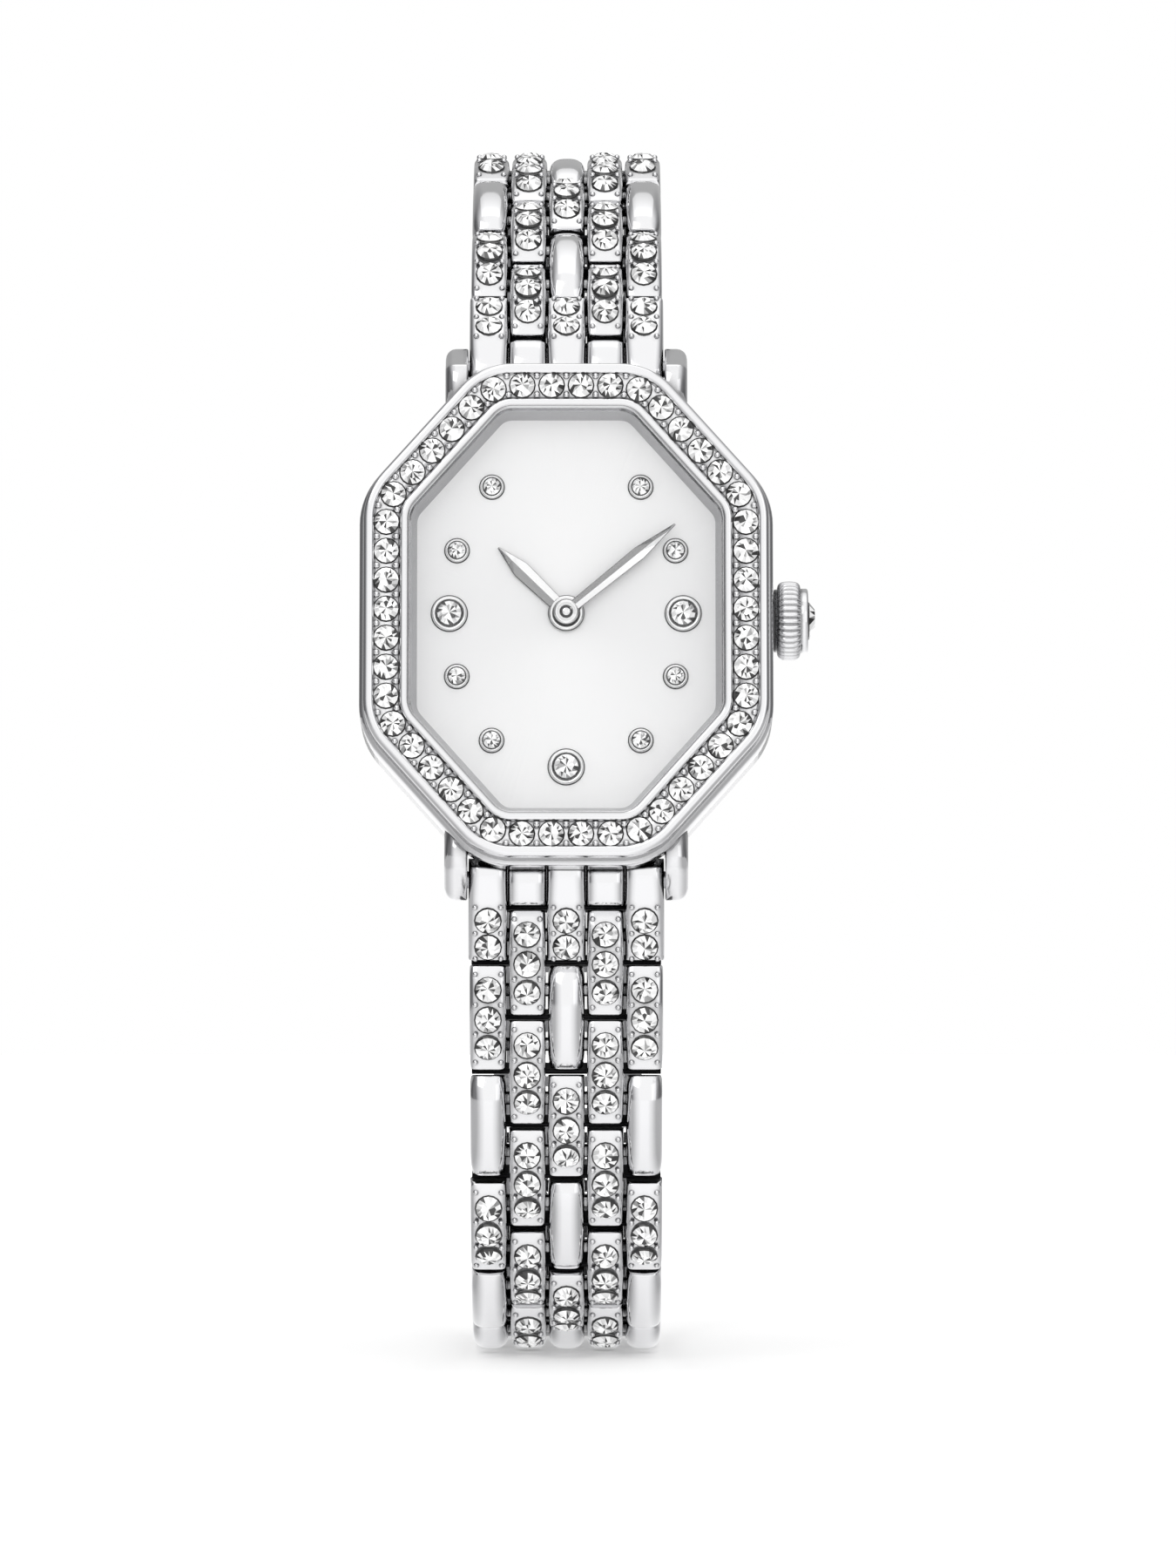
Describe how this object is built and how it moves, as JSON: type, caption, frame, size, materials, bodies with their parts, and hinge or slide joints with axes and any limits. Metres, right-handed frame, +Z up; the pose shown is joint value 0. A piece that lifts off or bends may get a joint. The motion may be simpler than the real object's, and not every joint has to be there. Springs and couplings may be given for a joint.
{
  "type": "bracelet watch",
  "caption": "Ladies' quartz bracelet watch: stone-set elongated octagonal head with two hands and a fluted crown, on a hinged link bracelet with a fold-over clasp.",
  "frame": {"origin": "middle of the bounding box's underside, where the bracelet's lowest rows stand", "axes": "+Z up, +X from nine o'clock to three o'clock, towards the crown, and -Y the way the dial faces, leaning back by the head's tilt"},
  "size_m": [0.0264, 0.0462, 0.0722],
  "materials": {
    "polished_steel": "polished",
    "satin_steel": "satin",
    "silver_dial": "silver-plated, sunray brushed",
    "cut_stone": "faceted, clear",
    "crystal": "clear, polished",
    "brass": "machined",
    "white_plastic": "moulded",
    "black_rubber": "smooth"
  },
  "bodies": {
    "head": {"case": "polished_steel", "bezel": "polished_steel", "bezel_stones": "cut_stone", "crystal": "crystal", "dial_ring": "satin_steel", "dial": "silver_dial", "marker_cups": "polished_steel", "marker_stones": "cut_stone", "movement": "brass", "battery": "satin_steel", "movement_holder": "white_plastic", "case_back": "satin_steel", "back_gasket": "black_rubber", "crown_tube": "satin_steel", "spring_bars": "satin_steel"},
    "hour_hand": {"hour_hand": "polished_steel", "hour_tube": "brass"},
    "minute_hand": {"minute_hand": "polished_steel", "cannon_pinion": "brass"},
    "setting": {"setting_slider": "satin_steel"},
    "crown": {"crown": "polished_steel", "crown_stone": "cut_stone", "winding_stem": "satin_steel"},
    "clasp_tray": {"clasp_tray": "polished_steel"},
    "clasp_cover": {"clasp_cover": "polished_steel"},
    "clasp_ladder": {"clasp_ladder": "polished_steel"},
    "upper_end_link": {"end_link_upper": "polished_steel"},
    "upper_row_01": {"link_row_upper_01": "polished_steel"},
    "upper_row_02": {"link_row_upper_02": "polished_steel"},
    "upper_row_03": {"link_row_upper_03": "polished_steel"},
    "upper_row_04": {"link_row_upper_04": "polished_steel"},
    "upper_row_05": {"link_row_upper_05": "polished_steel"},
    "upper_row_06": {"link_row_upper_06": "polished_steel"},
    "upper_row_07": {"link_row_upper_07": "polished_steel"},
    "upper_row_08": {"link_row_upper_08": "polished_steel"},
    "upper_row_09": {"link_row_upper_09": "polished_steel"},
    "upper_row_10": {"link_row_upper_10": "polished_steel"},
    "upper_row_11": {"link_row_upper_11": "polished_steel"},
    "upper_row_12": {"link_row_upper_12": "polished_steel"},
    "upper_row_13": {"link_row_upper_13": "polished_steel"},
    "lower_end_link": {"end_link_lower": "polished_steel"},
    "lower_row_01": {"link_row_lower_01": "polished_steel"},
    "lower_row_02": {"link_row_lower_02": "polished_steel"},
    "lower_row_03": {"link_row_lower_03": "polished_steel"},
    "lower_row_04": {"link_row_lower_04": "polished_steel"},
    "lower_row_05": {"link_row_lower_05": "polished_steel"},
    "lower_row_06": {"link_row_lower_06": "polished_steel"},
    "lower_row_07": {"link_row_lower_07": "polished_steel"},
    "lower_row_08": {"link_row_lower_08": "polished_steel"},
    "lower_row_09": {"link_row_lower_09": "polished_steel"},
    "lower_row_10": {"link_row_lower_10": "polished_steel"},
    "lower_row_11": {"link_row_lower_11": "polished_steel"},
    "lower_row_12": {"link_row_lower_12": "polished_steel"},
    "lower_row_13": {"link_row_lower_13": "polished_steel"},
    "lower_row_14": {"link_row_lower_14": "polished_steel"},
    "lower_row_15": {"link_row_lower_15": "polished_steel"},
    "lower_row_16": {"link_row_lower_16": "polished_steel"},
    "lower_row_17": {"link_row_lower_17": "polished_steel"},
    "lower_row_18": {"link_row_lower_18": "polished_steel"},
    "lower_row_19": {"link_row_lower_19": "polished_steel"}
  },
  "joints": [
    {"name": "minute_hand_turn", "type": "hinge", "parent": "head", "child": "minute_hand", "pos_m": [-0.00123, -0.01908, 0.0438], "axis": [0, 0.9877, -0.1564], "continuous": true},
    {"name": "hour_hand_turn", "type": "hinge", "parent": "head", "child": "hour_hand", "pos_m": [-0.00123, -0.01908, 0.0438], "axis": [0, 0.9877, -0.1564], "continuous": true},
    {"name": "crown_pull", "type": "slide", "parent": "head", "child": "setting", "axis": [1, 0, 0], "range_m": [0, 0.0008]},
    {"name": "crown_turn", "type": "hinge", "parent": "setting", "child": "crown", "pos_m": [-0.00123, -0.01666, 0.04341], "axis": [1, 0, 0], "continuous": true},
    {"name": "clasp_cover_hinge", "type": "hinge", "parent": "clasp_tray", "child": "clasp_cover", "pos_m": [-0.00123, 0.02078, 0.05424], "axis": [1, 0, 0], "range_deg": [0, 90]},
    {"name": "upper_end_link_hinge", "type": "hinge", "parent": "head", "child": "upper_end_link", "pos_m": [-0.00123, -0.01346, 0.0582], "axis": [1, 0, 0], "range_deg": [0, 23]},
    {"name": "upper_row_01_hinge", "type": "hinge", "parent": "upper_end_link", "child": "upper_row_01", "pos_m": [-0.00123, -0.01196, 0.06102], "axis": [1, 0, 0], "range_deg": [0, 21]},
    {"name": "upper_row_02_hinge", "type": "hinge", "parent": "upper_row_01", "child": "upper_row_02", "pos_m": [-0.00123, -0.0097, 0.06328], "axis": [1, 0, 0], "range_deg": [0, 8]},
    {"name": "upper_row_03_hinge", "type": "hinge", "parent": "upper_row_02", "child": "upper_row_03", "pos_m": [-0.00123, -0.00728, 0.06538], "axis": [1, 0, 0], "range_deg": [0, 8]},
    {"name": "upper_row_04_hinge", "type": "hinge", "parent": "upper_row_03", "child": "upper_row_04", "pos_m": [-0.00123, -0.00473, 0.06731], "axis": [1, 0, 0], "range_deg": [0, 11]},
    {"name": "upper_row_05_hinge", "type": "hinge", "parent": "upper_row_04", "child": "upper_row_05", "pos_m": [-0.00123, -0.00196, 0.06891], "axis": [1, 0, 0], "range_deg": [0, 13]},
    {"name": "upper_row_06_hinge", "type": "hinge", "parent": "upper_row_05", "child": "upper_row_06", "pos_m": [-0.00123, 0.00103, 0.07006], "axis": [1, 0, 0], "range_deg": [0, 15]},
    {"name": "upper_row_07_hinge", "type": "hinge", "parent": "upper_row_06", "child": "upper_row_07", "pos_m": [-0.00123, 0.00418, 0.07061], "axis": [1, 0, 0], "range_deg": [0, 15]},
    {"name": "upper_row_08_hinge", "type": "hinge", "parent": "upper_row_07", "child": "upper_row_08", "pos_m": [-0.00123, 0.00738, 0.07056], "axis": [1, 0, 0], "range_deg": [0, 15]},
    {"name": "upper_row_09_hinge", "type": "hinge", "parent": "upper_row_08", "child": "upper_row_09", "pos_m": [-0.00123, 0.01051, 0.06989], "axis": [1, 0, 0], "range_deg": [0, 18]},
    {"name": "upper_row_10_hinge", "type": "hinge", "parent": "upper_row_09", "child": "upper_row_10", "pos_m": [-0.00123, 0.01339, 0.06849], "axis": [1, 0, 0], "range_deg": [0, 19]},
    {"name": "upper_row_11_hinge", "type": "hinge", "parent": "upper_row_10", "child": "upper_row_11", "pos_m": [-0.00123, 0.0158, 0.06639], "axis": [1, 0, 0], "range_deg": [0, 19]},
    {"name": "upper_row_12_hinge", "type": "hinge", "parent": "upper_row_11", "child": "upper_row_12", "pos_m": [-0.00123, 0.01759, 0.06373], "axis": [1, 0, 0], "range_deg": [0, 17]},
    {"name": "upper_row_13_hinge", "type": "hinge", "parent": "upper_row_12", "child": "upper_row_13", "pos_m": [-0.00123, 0.01874, 0.06075], "axis": [1, 0, 0], "range_deg": [0, 13]},
    {"name": "clasp_tray_hinge", "type": "hinge", "parent": "upper_row_13", "child": "clasp_tray", "pos_m": [-0.00123, 0.01941, 0.05762], "axis": [1, 0, 0], "range_deg": [0, 15]},
    {"name": "lower_end_link_hinge", "type": "hinge", "parent": "head", "child": "lower_end_link", "pos_m": [-0.00123, -0.01819, 0.02837], "axis": [-1, 0, 0], "range_deg": [0, 16]},
    {"name": "lower_row_01_hinge", "type": "hinge", "parent": "lower_end_link", "child": "lower_row_01", "pos_m": [-0.00123, -0.01802, 0.02517], "axis": [-1, 0, 0], "range_deg": [0, 6]},
    {"name": "lower_row_02_hinge", "type": "hinge", "parent": "lower_row_01", "child": "lower_row_02", "pos_m": [-0.00123, -0.01774, 0.02198], "axis": [-1, 0, 0], "range_deg": [0, 6]},
    {"name": "lower_row_03_hinge", "type": "hinge", "parent": "lower_row_02", "child": "lower_row_03", "pos_m": [-0.00123, -0.01735, 0.01881], "axis": [-1, 0, 0], "range_deg": [0, 7]},
    {"name": "lower_row_04_hinge", "type": "hinge", "parent": "lower_row_03", "child": "lower_row_04", "pos_m": [-0.00123, -0.0168, 0.01566], "axis": [-1, 0, 0], "range_deg": [0, 9]},
    {"name": "lower_row_05_hinge", "type": "hinge", "parent": "lower_row_04", "child": "lower_row_05", "pos_m": [-0.00123, -0.01597, 0.01257], "axis": [-1, 0, 0], "range_deg": [0, 11]},
    {"name": "lower_row_06_hinge", "type": "hinge", "parent": "lower_row_05", "child": "lower_row_06", "pos_m": [-0.00123, -0.01477, 0.0096], "axis": [-1, 0, 0], "range_deg": [0, 14]},
    {"name": "lower_row_07_hinge", "type": "hinge", "parent": "lower_row_06", "child": "lower_row_07", "pos_m": [-0.00123, -0.01307, 0.00688], "axis": [-1, 0, 0], "range_deg": [0, 16]},
    {"name": "lower_row_08_hinge", "type": "hinge", "parent": "lower_row_07", "child": "lower_row_08", "pos_m": [-0.00123, -0.01085, 0.00458], "axis": [-1, 0, 0], "range_deg": [0, 17]},
    {"name": "lower_row_09_hinge", "type": "hinge", "parent": "lower_row_08", "child": "lower_row_09", "pos_m": [-0.00123, -0.00817, 0.00284], "axis": [-1, 0, 0], "range_deg": [0, 17]},
    {"name": "lower_row_10_hinge", "type": "hinge", "parent": "lower_row_09", "child": "lower_row_10", "pos_m": [-0.00123, -0.00516, 0.00175], "axis": [-1, 0, 0], "range_deg": [0, 16]},
    {"name": "lower_row_11_hinge", "type": "hinge", "parent": "lower_row_10", "child": "lower_row_11", "pos_m": [-0.00123, -0.00199, 0.0013], "axis": [-1, 0, 0], "range_deg": [0, 12]},
    {"name": "lower_row_12_hinge", "type": "hinge", "parent": "lower_row_11", "child": "lower_row_12", "pos_m": [-0.00123, 0.00121, 0.0013], "axis": [-1, 0, 0], "range_deg": [0, 4]},
    {"name": "lower_row_13_hinge", "type": "hinge", "parent": "lower_row_12", "child": "lower_row_13", "pos_m": [-0.00123, 0.00441, 0.0013], "axis": [-1, 0, 0], "range_deg": [0, 4]},
    {"name": "lower_row_14_hinge", "type": "hinge", "parent": "lower_row_13", "child": "lower_row_14", "pos_m": [-0.00123, 0.00761, 0.0013], "axis": [-1, 0, 0], "range_deg": [0, 12]},
    {"name": "lower_row_15_hinge", "type": "hinge", "parent": "lower_row_14", "child": "lower_row_15", "pos_m": [-0.00123, 0.01078, 0.00175], "axis": [-1, 0, 0], "range_deg": [0, 16]},
    {"name": "lower_row_16_hinge", "type": "hinge", "parent": "lower_row_15", "child": "lower_row_16", "pos_m": [-0.00123, 0.01379, 0.00284], "axis": [-1, 0, 0], "range_deg": [0, 20]},
    {"name": "lower_row_17_hinge", "type": "hinge", "parent": "lower_row_16", "child": "lower_row_17", "pos_m": [-0.00123, 0.01637, 0.00472], "axis": [-1, 0, 0], "range_deg": [0, 21]},
    {"name": "lower_row_18_hinge", "type": "hinge", "parent": "lower_row_17", "child": "lower_row_18", "pos_m": [-0.00123, 0.0183, 0.00728], "axis": [-1, 0, 0], "range_deg": [0, 19]},
    {"name": "lower_row_19_hinge", "type": "hinge", "parent": "lower_row_18", "child": "lower_row_19", "pos_m": [-0.00123, 0.0195, 0.01024], "axis": [-1, 0, 0], "range_deg": [0, 14]},
    {"name": "clasp_ladder_hinge", "type": "hinge", "parent": "lower_row_19", "child": "clasp_ladder", "pos_m": [-0.00123, 0.02016, 0.01337], "axis": [-1, 0, 0], "range_deg": [0, 17]}
  ],
  "couplings": [
    {"joint": "hour_hand_turn", "follows": "minute_hand_turn", "ratio": 0.083333}
  ]
}
